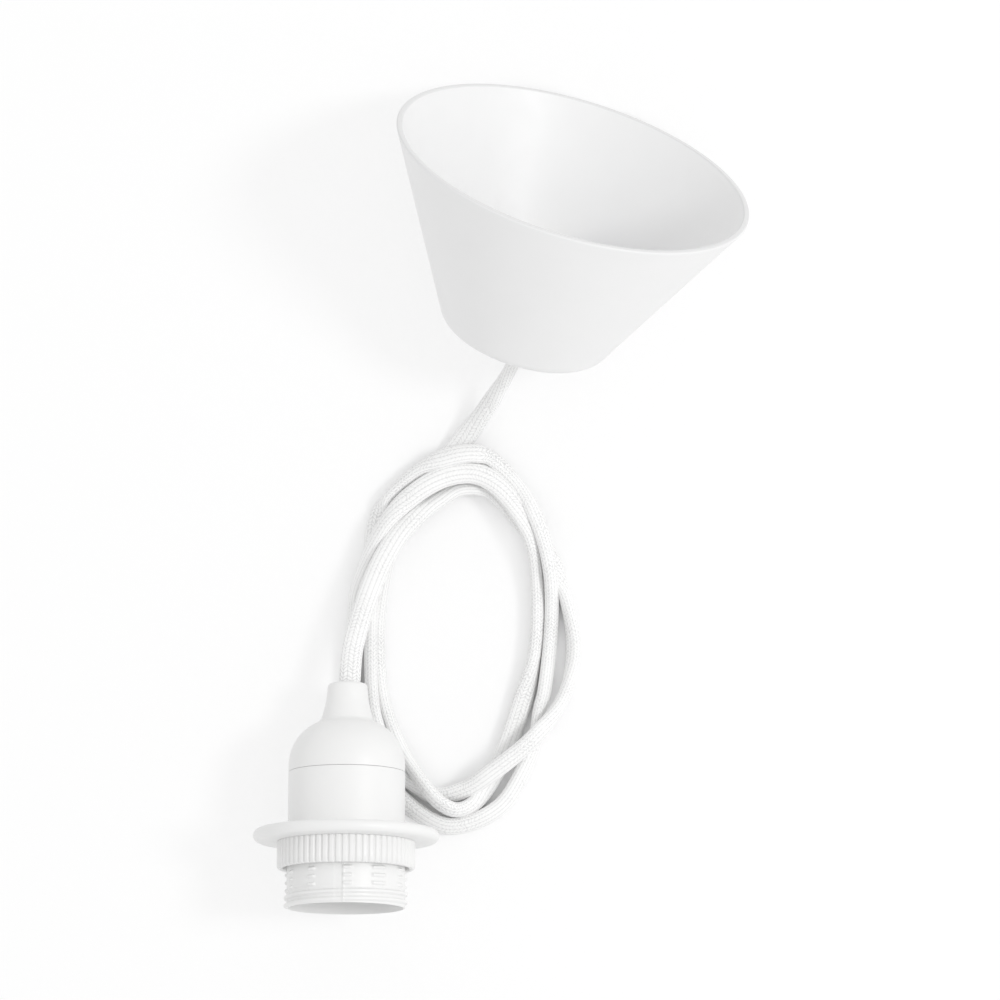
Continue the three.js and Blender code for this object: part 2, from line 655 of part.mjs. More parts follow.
// The grip sits in the cap's neck, and its side screw presses on the cord's flat side.
function cordGrip() {
  const shape = new THREE.Shape().absarc(0, 0, GRIP_RADIUS, 0, 2 * Math.PI);
  shape.holes.push(new THREE.Path().absarc(0, 0, cordBore, 0, 2 * Math.PI));
  const collar = new THREE.ExtrudeGeometry(shape, { depth: GRIP_LENGTH, bevelEnabled: false, curveSegments: 12 });
  collar.translate(0, 0, GRIP_FROM);
  const screwZ = GRIP_FROM + GRIP_SCREW_FROM;
  const hole = drill(GRIP_SCREW_RADIUS + SEAT, 2 * GRIP_RADIUS)
    .rotateX(Math.PI / 2)
    .translate(0, -GRIP_RADIUS - SEAT, screwZ);
  piece("cord_grip", cut(collar, hole), innerWhite, holder);
  const tip = CORD_THICKNESS / 2 + SEAT;
  const body = screw(GRIP_SCREW_RADIUS, GRIP_SCREW_LENGTH, GRIP_SCREW_HEAD, GRIP_SCREW_HEAD_HEIGHT);
  const made = piece("cord_grip_screw", body, zinc, holder);
  made.rotation.x = Math.PI / 2;
  made.position.set(0, -tip, screwZ);
}

// The insert carries both contacts and sits on the ledge inside the body.
const insertBottom = LEDGE_AT + SEAT;
const insertTop = insertBottom + INSERT_HEIGHT;
const footBottom = insertTop + SEAT;
const footTop = footBottom + STRIP;
const shellTop = LEDGE_AT;

function strip(corners) {
  return plate(new THREE.Shape(corners.map(([x, z]) => new THREE.Vector2(x, z))), STRIP_WIDTH, -STRIP_WIDTH / 2);
}

function contactInsert() {
  const radius = BODY_BORE - SEAT;
  const slots = [CENTRE_STRIP_X, SIDE_STRIP_X].map((x) =>
    new THREE.BoxGeometry(STRIP + 2 * SEAT, STRIP_WIDTH + 2 * SEAT, 3 * INSERT_HEIGHT).translate(
      x + STRIP / 2,
      0,
      insertTop,
    ),
  );
  const pilots = [-1, 1].map((side) =>
    drill(CONTACT_SCREW_RADIUS + SEAT, 2 * PILOT_DEPTH).translate(side * CONTACT_SCREW_AT, 0, insertTop),
  );
  const disc = turned(
    [
      [0, insertBottom],
      [radius, insertBottom],
      [radius, insertTop - INSERT_BEVEL],
      [radius - INSERT_BEVEL, insertTop],
      [0, insertTop],
    ],
    44,
  );
  piece("contact_insert", cut(disc, ...slots, ...pilots), innerWhite, holder);
}

function contacts() {
  const tongue = insertBottom - TONGUE_DROP;
  const centre = strip([
    [-TONGUE_REACH, tongue],
    [CENTRE_STRIP_X + STRIP, tongue + TONGUE_RISE],
    [CENTRE_STRIP_X + STRIP, footBottom],
    [CONTACT_SCREW_AT + STRIP_FOOT, footBottom],
    [CONTACT_SCREW_AT + STRIP_FOOT, footTop],
    [CENTRE_STRIP_X, footTop],
    [CENTRE_STRIP_X, tongue + TONGUE_RISE + STRIP],
    [-TONGUE_REACH, tongue + STRIP],
  ]);
  const side = strip([
    [SIDE_STRIP_X, shellTop + SEAT],
    [SIDE_STRIP_X + STRIP, shellTop + SEAT],
    [SIDE_STRIP_X + STRIP, footBottom],
    [-CONTACT_SCREW_AT + STRIP_FOOT, footBottom],
    [-CONTACT_SCREW_AT + STRIP_FOOT, footTop],
    [SIDE_STRIP_X, footTop],
  ]);
  const hole = (x) => drill(CONTACT_SCREW_RADIUS + SEAT, 3 * STRIP).translate(x, 0, footTop);
  piece("centre_contact", cut(centre, hole(CONTACT_SCREW_AT)), brass, holder);
  piece("side_contact", cut(side, hole(-CONTACT_SCREW_AT)), brass, holder);
  [-1, 1].forEach((sign, i) => {
    const made = piece(
      `contact_screw_${i + 1}`,
      screw(CONTACT_SCREW_RADIUS, CONTACT_SCREW_LENGTH, CONTACT_SCREW_HEAD, CONTACT_SCREW_HEAD_HEIGHT),
      zinc,
      holder,
    );
    made.position.set(sign * CONTACT_SCREW_AT, 0, footTop + SEAT - CONTACT_SCREW_LENGTH);
  });
}

// The threaded shell hangs under the insert by its lip.
function screwShell() {
  const threadTo = SHELL_FROM + SHELL_TURNS * SHELL_PITCH;
  const heights = rows(SHELL_FROM, threadTo, SHELL_PITCH);
  const lip = SHELL_BORE - SHELL_LIP;
  const profile = [
    ...heights.map((z) => [SHELL_BORE + SHELL_WALL, z]),
    [SHELL_BORE + SHELL_WALL, shellTop],
    [lip, shellTop],
    [lip, shellTop - SHELL_WALL],
    [SHELL_BORE, shellTop - SHELL_WALL],
    ...heights.reverse().map((z) => [SHELL_BORE, z]),
  ];
  const shell = threaded(turned(profile, 20), {
    pitch: SHELL_PITCH,
    depth: SHELL_DEPTH,
    start: SHELL_FROM,
    to: threadTo,
    belongs: () => true,
  });
  piece("screw_shell", shell, zinc, holder);
}

function holderCores() {
  const half = CORE_PITCH / 2;
  const start = GRIP_FROM - GRIP_OVERHANG - SEAT;
  const rest = footTop + SEAT + CORE_RADIUS;
  const beside = CONTACT_SCREW_HEAD + SEAT + CORE_RADIUS;
  const [leadX, leadY, leadZ] = HOLDER_CORE_LEAD;
  const [dropX, dropY, dropZ] = HOLDER_CORE_DROP;
  const routes = [1, -1].map((side) => [
    [side * half, 0, start],
    [side * (half + leadX), leadY, start + leadZ],
    [side * (half + dropX), dropY, rest + dropZ],
    [side * (CONTACT_SCREW_AT - HOLDER_CORE_RUN), beside, rest],
    [side * (CONTACT_SCREW_AT + HOLDER_CORE_RUN), beside, rest],
  ]);
  piece("holder_core_live", wire(routes[0]), brownCore, holder);
  piece("holder_core_neutral", wire(routes[1]), blueCore, holder);
}

// The whole cord's middle line: from the cup's clamp, out of its small end, over the table and into the cap.
function onCupAxis(distance) {
  return cup.leaned.localToWorld(new THREE.Vector3(0, 0, distance));
}

function onHolderAxis(distance) {
  return holder.localToWorld(new THREE.Vector3(0, 0, distance));
}

set.updateMatrixWorld(true);
const cupStops = [
  { at: onCupAxis(cordEnd), roll: 0 },
  { at: onCupAxis(HOOK_FROM), roll: 0 },
  { at: onCupAxis(0), roll: 60 },
];
const stops = [
  ...cupStops,
  ...ROUTE.map(([x, y, z, roll]) => ({ at: new THREE.Vector3(x, y, z), roll })),
  { at: onHolderAxis(NECK_TOP_AT - NECK_ENTRY), roll: 0 },
  { at: onHolderAxis(GRIP_FROM + GRIP_LENGTH), roll: 0 },
  { at: onHolderAxis(GRIP_FROM - GRIP_OVERHANG), roll: 0 },
];
const cordLine = new THREE.CatmullRomCurve3(
  stops.map((stop) => stop.at),
  false,
  "centripetal",
);
cordLine.arcLengthDivisions = 4000;

// One stretch of the cord. Its frames keep the flat section's roll over the table.
class Stretch extends THREE.Curve {
  constructor(from, to) {
    super();
    this.from = from;
    this.to = to;
  }

  along(t) {
    return THREE.MathUtils.lerp(this.from, this.to, t);
  }

  getPoint(t, target = new THREE.Vector3()) {
    return target.copy(cordLine.getPointAt(this.along(t)));
  }

  rollAt(u) {
    const place = cordLine.getUtoTmapping(u) * (stops.length - 1);
    const i = Math.min(Math.floor(place), stops.length - 2);
    return radians(THREE.MathUtils.lerp(stops[i].roll, stops[i + 1].roll, place - i));
  }

  computeFrenetFrames(segments) {
    const frames = { tangents: [], normals: [], binormals: [] };
    for (let i = 0; i <= segments; i += 1) {
      const u = this.along(i / segments);
      const tangent = cordLine.getTangentAt(u);
      const across = new THREE.Vector3(0, 0, 1).cross(tangent).normalize();
      const normal = across.applyAxisAngle(tangent, this.rollAt(u));
      frames.tangents.push(tangent);
      frames.normals.push(normal);
      frames.binormals.push(new THREE.Vector3().crossVectors(tangent, normal));
    }
    return frames;
  }
}

const cordLength = cordLine.getLength();

// Where a point of the list lies along the cord, as a share of its length.
function shareAt(index) {
  const t = index / (stops.length - 1);
  const lengths = cordLine.getLengths();
  return lengths[Math.round(t * (lengths.length - 1))] / cordLength;
}

function cordTube(from, to, steps) {
  const section = new THREE.Shape().absellipse(0, 0, CORD_WIDTH / 2, CORD_THICKNESS / 2, 0, 2 * Math.PI);
  return new THREE.ExtrudeGeometry(section, { steps, extrudePath: new Stretch(from, to), curveSegments: 5 });
}

function cord() {
  const first = shareAt(cupStops.length + COIL_FIRST);
  const last = shareAt(cupStops.length + COIL_LAST);
  const gap = SEAT / cordLength;
  const lap = LAP / cordLength;
  const stepsIn = (from, to) => Math.max(2, Math.round(((to - from) * cordLength) / STEP_LENGTH));
  piece("cord_from_cup", cordTube(0, first, stepsIn(0, first) + 2), textileWhite, set);
  const stretches = [];
  const each = (last - first - 2 * gap) / COIL_STRETCHES;
  for (let i = 0; i < COIL_STRETCHES; i += 1) {
    const from = first + gap + i * each;
    const to = Math.min(from + each + lap, last - gap);
    stretches.push(cordTube(from, to, stepsIn(from, to)));
  }
  piece("cord_coil", join(...stretches), textileWhite, set);
  piece("cord_to_holder", cordTube(last, 1, stepsIn(last, 1) + 2), textileWhite, set);
}

ceilingCup();
cupBush();
suspensionHook();
hookClamp();
terminalBlock();
terminals();
cupCores();
holderBody();
shadeRing();
holderCap();
cordGrip();
contactInsert();
contacts();
screwShell();
holderCores();
cord();

export default set;
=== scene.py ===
import json
import math

import bpy
from mathutils import Matrix, Vector


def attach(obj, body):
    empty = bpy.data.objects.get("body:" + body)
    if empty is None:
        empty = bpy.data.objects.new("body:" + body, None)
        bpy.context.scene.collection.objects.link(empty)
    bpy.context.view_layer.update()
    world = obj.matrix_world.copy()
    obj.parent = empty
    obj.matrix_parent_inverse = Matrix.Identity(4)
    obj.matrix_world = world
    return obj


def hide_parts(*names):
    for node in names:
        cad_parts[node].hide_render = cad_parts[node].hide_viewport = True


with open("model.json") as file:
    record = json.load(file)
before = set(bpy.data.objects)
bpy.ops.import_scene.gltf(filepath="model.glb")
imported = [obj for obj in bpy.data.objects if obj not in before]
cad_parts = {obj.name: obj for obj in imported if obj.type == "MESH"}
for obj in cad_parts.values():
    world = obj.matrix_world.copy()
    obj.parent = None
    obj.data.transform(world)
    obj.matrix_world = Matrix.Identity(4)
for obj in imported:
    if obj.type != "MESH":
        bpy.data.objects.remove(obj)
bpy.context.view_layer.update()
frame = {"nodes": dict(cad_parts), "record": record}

MM = 0.001

# Sizes in millimetres, as in the solids

CUP_RIM_RADIUS = 58.2
CUP_END_RADIUS = 26.25
CUP_HEIGHT = 62.2
CUP_WALL = 1.8
CUP_CORNER = 7
CUP_END_AT = (7.2, 52.4)
CUP_HEADING = 72.7
CUP_HOLE = 5.7
CUP_RIM_ROUND = 0.5
CUP_SLOPE = math.atan2(CUP_RIM_RADIUS - CUP_END_RADIUS, CUP_HEIGHT)

CORD_WIDTH = 7.1
CORD_THICKNESS = 4.4
CORD_FROM = 18.5  # along the cup's axis, where the hook clamps the cord
HOOK_FROM = 10  # below this the cord runs free to the cup's hole
HOLE_ROLL = 60  # how far the cord has rolled in that hole, in degrees
CORD_TO = 51  # along the holder's axis, inside the cap
GRIP_TOP = 62
NECK_ENTRY = 4  # from the neck's top to where the cord runs straight

HOLDER_MOUTH_AT = (-49.3, -131.6)
HOLDER_TILT = math.radians(12.4)
SKIRT_RADIUS = 19
SKIRT_BORE = 17
THREAD_DEPTH = 0.9
THREAD_PITCH = 2.5
THREAD_START = 1.2
FLANGE_AT = 21.3
FLANGE_THICKNESS = 3.9
FLANGE_RADIUS = 30
FLANGE_ROUND = 1.9
FLANGE_FILLET = 0.4
BODY_RADIUS = 18.85
BODY_BORE = 15.6
BODY_TOP = 43.8
BODY_FILLET = 1.2
SEAM_ROUND = 0.12  # both edges of the seam between body and cap
SPIGOT_RADIUS = 17.05
SPIGOT_WALL = 1.4
SPIGOT_TOP = 48.3
LEDGE_AT = 30
LEDGE_BORE = 14.4
LEDGE_DEPTH = 2
LEDGE_SLOPE = 2
CAP_WALL = 1.5
CAP_DOME_RADIUS = 15
CAP_DOME_CORNER = 56.1
CAP_SHOULDER_AT = 59.9
CAP_SHOULDER_RADIUS = 9.9
CAP_SHOULDER_ROUND = 0.5
NECK_FOOT_AT = 61
NECK_FOOT_RADIUS = 8.5
NECK_FOOT_ROUND = 0.8
NECK_WAIST_AT = 66.9
NECK_WAIST_RADIUS = 6.9
NECK_WAIST_ROUND = 14
NECK_TOP_AT = 73
NECK_TOP_RADIUS = 6.3
NECK_TOP_ROUND = 1.3
NECK_BORE = 3.85
NECK_BORE_ROUND = 1.1
NECK_BORE_FROM = 62.6
GRIP_RECESS = 6.9
SEAM = 0.1

RING_HEIGHT = 8.7
RING_TOP = 21.25
RING_RADIUS = 22.25
RING_BORE = 20.2
RING_RIBS = 64
RIB_DEPTH = 0.6

SHELL_BORE = 12.3
SHELL_DEPTH = 1
SHELL_WALL = 0.5
SHELL_PITCH = 3.63
SHELL_FROM = 9
SHELL_TOP = 30
SHELL_THREAD_TOP = 23.5
SHELL_LIP_RADIUS = 6.8

# The cord's middle line: x, y and z in millimetres, and the roll in degrees, where 0 lies flat and
# 90 stands on edge
ROUTE = (
    (4.8, 44.4, 18.8, 90),
    (-4.4, 29.2, 8.6, 40),
    (-14.3, 16.2, 2.7, 0),
    (-30.1, -1.9, 2.9, 10),
    (-36.8, -20.4, 3.6, 80),
    (-39.8, -45.0, 3.9, 90),
    (-38.0, -66.4, 3.9, 90),
    (-32.7, -81.2, 4.9, 90),
    (-23.9, -95.0, 9.9, 68),
    (-19.2, -99.9, 9.6, 64),
    (-14.2, -102.3, 7.0, 60),
    (-9.0, -100.9, 4.6, 55),
    (-4.3, -95.2, 3.2, 38),
    (0.6, -86.2, 2.9, 35),
    (7.5, -67.4, 2.8, 28),
    (11.7, -50.6, 3.7, 76),
    (12.7, -28.2, 4.5, 68),
    (10.5, -13.7, 8.7, 70),
    (3.1, 0.4, 9.5, 28),
    (-6.4, 7.7, 8.8, 10),
    (-16.8, 7.4, 8.8, 8),
    (-28.3, 1.0, 9.1, 20),
    (-38.0, -9.4, 9.3, 60),
    (-46.7, -30.2, 4.9, 90),
    (-47.7, -38.5, 3.9, 90),
    (-48.2, -58.2, 3.9, 90),
    (-45.6, -78.0, 2.9, 30),
    (-42.3, -86.8, 2.7, 10),
    (-37.3, -94.7, 2.9, 30),
    (-17.2, -107.9, 3.2, 48),
    (-0.3, -102.0, 3.2, 48),
    (7.4, -90.5, 3.3, 55),
    (12.1, -77.3, 3.6, 70),
    (13.4, -69.4, 3.7, 74),
    (14.9, -63.1, 3.7, 74),
    (17.3, -35.5, 4.3, 72),
    (16.2, -20.9, 9.3, 70),
    (12.0, -6.2, 9.3, 60),
    (5.5, 4.7, 5.9, 70),
    (-3.4, 13.4, 6.4, 58),
    (-8.0, 14.7, 8.4, 38),
    (-17.2, 13.4, 8.4, 36),
    (-27.1, 8.8, 4.9, 75),
    (-36.3, 0.1, 3.9, 90),
    (-39.3, -5.2, 3.1, 40),
    (-40.8, -12.1, 2.8, 20),
    (-41.1, -20.4, 3.7, 50),
    (-41.8, -33.4, 6.9, 90),
    (-42.1, -46.5, 8.1, 90),
    (-40.8, -71.2, 7.5, 90),
    (-33.0, -89.5, 3.9, 80),
    (-26.8, -95.5, 3.2, 60),
    (-20.2, -98.1, 3.1, 45),
    (-11.0, -95.7, 5.4, 40),
    (-2.1, -89.6, 9.1, 40),
    (11.7, -77.9, 10.5, 50),
    (20.9, -65.7, 5.1, 84),
    (24.3, -50.0, 3.6, 110),
    (21.8, -32.9, 3.9, 92),
    (16.3, -19.7, 2.9, 20),
    (9.1, -9.0, 2.9, 10),
    (-4.1, 2.7, 3.9, 60),
    (-12.6, 3.3, 4.3, 60),
    (-20.8, -0.8, 5.7, 40),
    (-29.6, -8.3, 9.7, 20),
    (-37.5, -19.2, 13.0, 0),
    (-47.4, -46.9, 16.0, 0),
    (-48.7, -60.0, 19.6, 0),
)

# Camera: straight above the set

CAMERA_AT = (0.2, -0.6, 1205)
FOCAL_PIXELS = 3650
FRAME_PIXELS = 1000
SENSOR_WIDTH = 36
CLIP_FROM = 0.01
CLIP_TO = 20

camera_data = bpy.data.cameras.new("camera")
camera_data.sensor_fit = "HORIZONTAL"
camera_data.sensor_width = SENSOR_WIDTH
camera_data.lens = SENSOR_WIDTH * FOCAL_PIXELS / FRAME_PIXELS
camera_data.clip_start = CLIP_FROM
camera_data.clip_end = CLIP_TO
camera = bpy.data.objects.new("camera", camera_data)
camera.location = Vector(CAMERA_AT) * MM
bpy.context.scene.collection.objects.link(camera)
bpy.context.scene.camera = camera
bpy.context.scene.view_settings.view_transform = "Standard"


# Places on the leaning cup and holder

class Leaning:
    """A frame whose z is a piece's axis: it heads along the table and is raised from it."""

    def __init__(self, at, height, heading, raised):
        self.origin = Vector((at[0], at[1], height))
        flat = Vector((math.cos(heading), math.sin(heading), 0))
        self.z = flat * math.cos(raised) + Vector((0, 0, math.sin(raised)))
        self.x = Vector((flat.y, -flat.x, 0))
        self.y = self.z.cross(self.x)

    def point(self, x, y, z):
        """A point of the frame in the row frame, in metres."""
        return (self.origin + self.x * x + self.y * y + self.z * z) * MM


end_height = CUP_END_RADIUS * math.cos(CUP_SLOPE)
cup_frame = Leaning(CUP_END_AT, end_height, math.radians(CUP_HEADING), CUP_SLOPE)
mouth_height = (
    FLANGE_ROUND
    + (FLANGE_RADIUS - FLANGE_ROUND) * math.cos(HOLDER_TILT)
    + (FLANGE_AT + FLANGE_THICKNESS - FLANGE_ROUND) * math.sin(HOLDER_TILT)
)
holder_frame = Leaning(HOLDER_MOUTH_AT, mouth_height, math.pi / 2, -HOLDER_TILT)


# Materials

NOISE_RANGE = (0.3, 0.7)  # most of a noise's values lie between these
CLOUDS = 55  # from here on, noise scales
GLOSS_PATCHES = 130
MOULD_GRAIN = 2600
METAL_STREAKS = 900
STRAND_PATCHES = 60
STRAND_UNEVENNESS = 480
FIBRES = 5200
FLOOR_CLOUDS = 3
GLOSS_SPREAD = 0.05
PLASTIC_IOR = 1.5
GRAIN_DEPTH = 0.00006  # bump distances, in metres
STREAK_DEPTH = 0.00003
CUP_WHITE = (0.86, 0.86, 0.86)
# grey for the cup's random clouds, and painted shade on the rim's narrow face
CUP_CLOUD_AND_RIM_SHADE_GREY = (0.75, 0.75, 0.75)
CUP_GLOSS = 0.46
HOLDER_WHITE = (0.85, 0.85, 0.845)


class Nodes:
    """Short calls for one material's node tree."""

    def __init__(self, name):
        self.material = bpy.data.materials.new(name)
        self.material.use_nodes = True
        self.tree = self.material.node_tree
        self.shader = self.tree.nodes["Principled BSDF"]

    def add(self, kind, inputs=(), **settings):
        node = self.tree.nodes.new(kind)
        for key, value in settings.items():
            setattr(node, key, value)
        for socket, value in dict(inputs).items():
            self.feed(node, socket, value)
        return node

    def feed(self, node, socket, value):
        if isinstance(value, bpy.types.NodeSocket):
            self.tree.links.new(value, node.inputs[socket])
        else:
            node.inputs[socket].default_value = value

    def math(self, operation, *values):
        node = self.add("ShaderNodeMath", operation=operation)
        for i, value in enumerate(values):
            self.feed(node, i, value)
        return node.outputs[0]

    def noise(self, vector, scale, detail=3, roughness=0.55):
        inputs = {"Vector": vector, "Scale": scale, "Detail": detail, "Roughness": roughness}
        return self.add("ShaderNodeTexNoise", inputs).outputs["Fac"]

    def place(self):
        return self.add("ShaderNodeTexCoord").outputs["Object"]

    def spread(self, value, given, wanted):
        """value taken from one range to another, and held there."""
        inputs = {
            "Value": value,
            "From Min": given[0],
            "From Max": given[1],
            "To Min": wanted[0],
            "To Max": wanted[1],
        }
        return self.add("ShaderNodeMapRange", inputs).outputs["Result"]

    def ramp(self, value, low, high):
        """A noise spread from low to high."""
        return self.spread(value, NOISE_RANGE, (low, high))

    def blend(self, factor, first, second):
        node = self.add("ShaderNodeMix", data_type="RGBA")
        self.feed(node, 0, factor)
        self.feed(node, 6, (*first, 1))
        self.feed(node, 7, (*second, 1))
        return node.outputs[2]

    def shade(self, **sockets):
        for socket, value in sockets.items():
            self.feed(self.shader, socket.replace("_", " "), value)

    def bump(self, height, strength, distance):
        inputs = {"Height": height, "Strength": strength, "Distance": distance}
        self.shade(Normal=self.add("ShaderNodeBump", inputs).outputs["Normal"])


def moulded(n, place, colour, roughness, grain):
    """What all the plastics share: uneven gloss and a fine skin from the mould."""
    low, high = roughness - GLOSS_SPREAD, roughness + GLOSS_SPREAD
    gloss = n.ramp(n.noise(place, GLOSS_PATCHES), low, high)
    n.shade(Base_Color=colour, Roughness=gloss, IOR=PLASTIC_IOR)
    n.bump(n.noise(place, MOULD_GRAIN, detail=2), grain, GRAIN_DEPTH)
    return n.material


def plastic(name, colour, roughness, grain, tint=0.985):
    """Moulded plastic with a faint cloudiness."""
    n = Nodes(name)
    place = n.place()
    darker = tuple(c * tint for c in colour)
    cloudy = n.blend(n.ramp(n.noise(place, CLOUDS), 0, 1), darker, colour)
    return moulded(n, place, cloudy, roughness, grain)


def cup_plastic():
    """The cup's plastic, with faint random clouds of grey. The narrow face of its rim is painted
    greyer, as painted shade.
    """
    n = Nodes("cup_plastic")
    place = n.place()
    ends = {0: place, 1: cup_frame.origin * MM}
    from_end = n.add("ShaderNodeVectorMath", ends, operation="SUBTRACT").outputs[0]
    axis = {0: from_end, 1: cup_frame.z}
    along = n.add("ShaderNodeVectorMath", axis, operation="DOT_PRODUCT").outputs["Value"]
    low, high = (CUP_HEIGHT - CUP_RIM_ROUND) * MM, (CUP_HEIGHT - CUP_RIM_ROUND / 4) * MM
    # painted shade: the rim's narrow face turns grey along the cup's axis
    painted_rim_shade = n.spread(along, (low, high), (0, 1))
    cloud = n.ramp(n.noise(place, CLOUDS), 0, 0.1)
    colour = n.blend(n.math("MAXIMUM", painted_rim_shade, cloud), CUP_WHITE, CUP_CLOUD_AND_RIM_SHADE_GREY)
    return moulded(n, place, colour, CUP_GLOSS, grain=0.12)


def metal(name, colour, roughness):
    """Plated or rolled metal with fine streaks and uneven gloss."""
    n = Nodes(name)
    streaks = n.noise(n.place(), METAL_STREAKS, detail=4)
    darker = tuple(0.85 * c for c in colour)
    n.shade(
        Base_Color=n.blend(n.ramp(streaks, 0, 1), darker, colour),
        Roughness=n.ramp(streaks, roughness - 0.06, roughness + 0.1),
        Metallic=1.0,
    )
    n.bump(streaks, 0.1, STREAK_DEPTH)
    return n.material


BRAID_COLUMNS = 14  # round the cord
STRAND_PITCH = 1.25  # along the cord, in millimetres
STRAND_WANDER = 0.5  # how far a strand lies off its place, in strands
STRAND_FULLNESS = 0.85  # the lower, the narrower the gaps between strands
COLUMN_FULLNESS = 0.28  # the same between columns
STRANDS_SHOW = (0.1, 0.9)  # how much, from place to place
FIBRE_SHARE = 0.35
BRAID_TONES = (0.25, 1.0)  # the heights that are all painted gap shade and all light
BRAID_DEPTH = 0.00014


def braid(name, light, fibre_tone_and_gap_shade):
    """Textile braid: columns of strands that slant one way and then the other round the cord.
    The cord's UV map holds the column count round it and millimetres along it.
    The darker colour is painted shade in the gaps between strands and columns, with random fibre
    tone."""
    n = Nodes(name)
    uv = n.add("ShaderNodeUVMap", uv_map="braid").outputs["UV"]
    split = n.add("ShaderNodeSeparateXYZ", {"Vector": uv})
    column, along = split.outputs["X"], split.outputs["Y"]
    place = n.place()
    uneven = n.ramp(n.noise(place, STRAND_UNEVENNESS), -STRAND_WANDER, STRAND_WANDER)
    within = n.math("FRACT", column)
    half = n.math("FRACT", n.math("MULTIPLY", n.math("FLOOR", column), 0.5))
    mirrored = n.math("GREATER_THAN", half, 0.25)
    lean = n.math("SUBTRACT", n.math("MULTIPLY", mirrored, 2.0), 1.0)
    even = n.math("ADD", n.math("DIVIDE", along, STRAND_PITCH), n.math("MULTIPLY", lean, within))
    slanted = n.math("ADD", even, uneven)
    wave = n.math("ABSOLUTE", n.math("SINE", n.math("MULTIPLY", slanted, math.pi)))
    strand = n.math("POWER", wave, STRAND_FULLNESS)
    ridge = n.math("MAXIMUM", n.math("SINE", n.math("MULTIPLY", within, math.pi)), 0.0)
    rounded = n.math("POWER", ridge, COLUMN_FULLNESS)
    showing = n.ramp(n.noise(place, STRAND_PATCHES), *STRANDS_SHOW)
    gap = n.math("MULTIPLY", showing, n.math("SUBTRACT", 1.0, strand))
    height = n.math("MULTIPLY", n.math("SUBTRACT", 1.0, gap), rounded)
    fibre = n.noise(place, FIBRES, roughness=0.7)
    woven = n.math("ADD", height, n.math("MULTIPLY", fibre, FIBRE_SHARE))
    n.shade(
        # painted shade: the colour darkens in the gaps between strands and columns; the fibre
        # noise adds random tone
        Base_Color=n.blend(n.spread(woven, BRAID_TONES, (0.0, 1.0)), fibre_tone_and_gap_shade, light),
        Roughness=n.ramp(fibre, 0.8, 0.95),
        Sheen_Weight=0.25,
        Sheen_Roughness=0.5,
        Specular_IOR_Level=0.25,
    )
    n.bump(woven, 0.5, BRAID_DEPTH)
    return n.material


materials = {
    "cup_plastic": cup_plastic(),
    "holder_plastic": plastic("holder_plastic", HOLDER_WHITE, 0.42, grain=0.2),
    "inner_plastic": plastic("inner_plastic", (0.70, 0.69, 0.65), 0.6, grain=0.3, tint=0.95),
    "textile_braid": braid("textile_braid", (0.95, 0.95, 0.945), (0.64, 0.64, 0.64)),
    "brass": metal("brass", (0.72, 0.52, 0.22), 0.28),
    "zinc_steel": metal("zinc_steel", (0.60, 0.60, 0.61), 0.34),
    "brown_core": plastic("brown_core", (0.16, 0.07, 0.03), 0.45, grain=0.1, tint=0.8),
    "blue_core": plastic("blue_core", (0.03, 0.11, 0.36), 0.45, grain=0.1, tint=0.8),
}


# Mesh helpers

CUP_SIDES = 224
BODY_SIDES = 360
CAP_SIDES = 192
SHELL_SIDES = 96
RING_STRETCH = 3  # the longest stretch of a profile, in millimetres
SHELL_STRETCH = 0.45


def make(name, vertices, faces, slot, nodes, body="set", smooth_angle=35):
    """A mesh piece that stands for some CAD nodes and rides on a body."""
    mesh = bpy.data.meshes.new(name)
    mesh.from_pydata([tuple(v) for v in vertices], [], faces)
    mesh.polygons.foreach_set("use_smooth", [True] * len(mesh.polygons))
    mesh.set_sharp_from_angle(angle=math.radians(smooth_angle))
    mesh.materials.append(materials[slot])
    mesh.update()
    made = bpy.data.objects.new(name, mesh)
    bpy.context.scene.collection.objects.link(made)
    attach(made, body)
    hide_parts(*nodes)
    return made


def outline(corners, arc_steps=8):
    """The points of a profile of (radius, height) or (radius, height, round) corners."""
    points = []
    for i, corner in enumerate(corners):
        here = Vector(corner[:2])
        if len(corner) == 2:
            points.append(here)
            continue
        before = (Vector(corners[i - 1][:2]) - here).normalized()
        after = (Vector(corners[(i + 1) % len(corners)][:2]) - here).normalized()
        half = math.acos(max(-1, min(1, before.dot(after)))) / 2
        centre = here + (before + after).normalized() * (corner[2] / math.sin(half))
        start = here + before * (corner[2] / math.tan(half)) - centre
        end = here + after * (corner[2] / math.tan(half)) - centre
        turn = math.atan2(start.x * end.y - start.y * end.x, start.dot(end))
        for k in range(arc_steps + 1):
            angle = turn * k / arc_steps
            c, s = math.cos(angle), math.sin(angle)
            points.append(centre + Vector((start.x * c - start.y * s, start.x * s + start.y * c)))
    return points


def filled(points, step):
    """The closed profile with no stretch longer than step along its length."""
    out = []
    for i, here in enumerate(points):
        there = points[(i + 1) % len(points)]
        count = max(1, math.ceil((there - here).length / step))
        out += [here.lerp(there, k / count) for k in range(count)]
    return out


def lathe(name, place, points, sides, slot, nodes, body="set", relief=None, smooth_angle=35):
    """A closed profile turned about a frame's axis.
    relief(radius, z, angle) gives the radius of a point."""
    count = len(points)
    vertices = []
    for k in range(sides):
        angle = 2 * math.pi * k / sides
        c, s = math.cos(angle), math.sin(angle)
        for radius, z in points:
            r = relief(radius, z, angle) if relief else radius
            vertices.append(place.point(r * c, r * s, z))
    faces = []
    for k in range(sides):
        here, there = k * count, (k + 1) % sides * count
        for i in range(count):
            j = (i + 1) % count
            faces.append((here + i, there + i, there + j, here + j))
    return make(name, vertices, faces, slot, nodes, body, smooth_angle)


# Cord: within about 3 mm of the solids' line, with rolls of its own

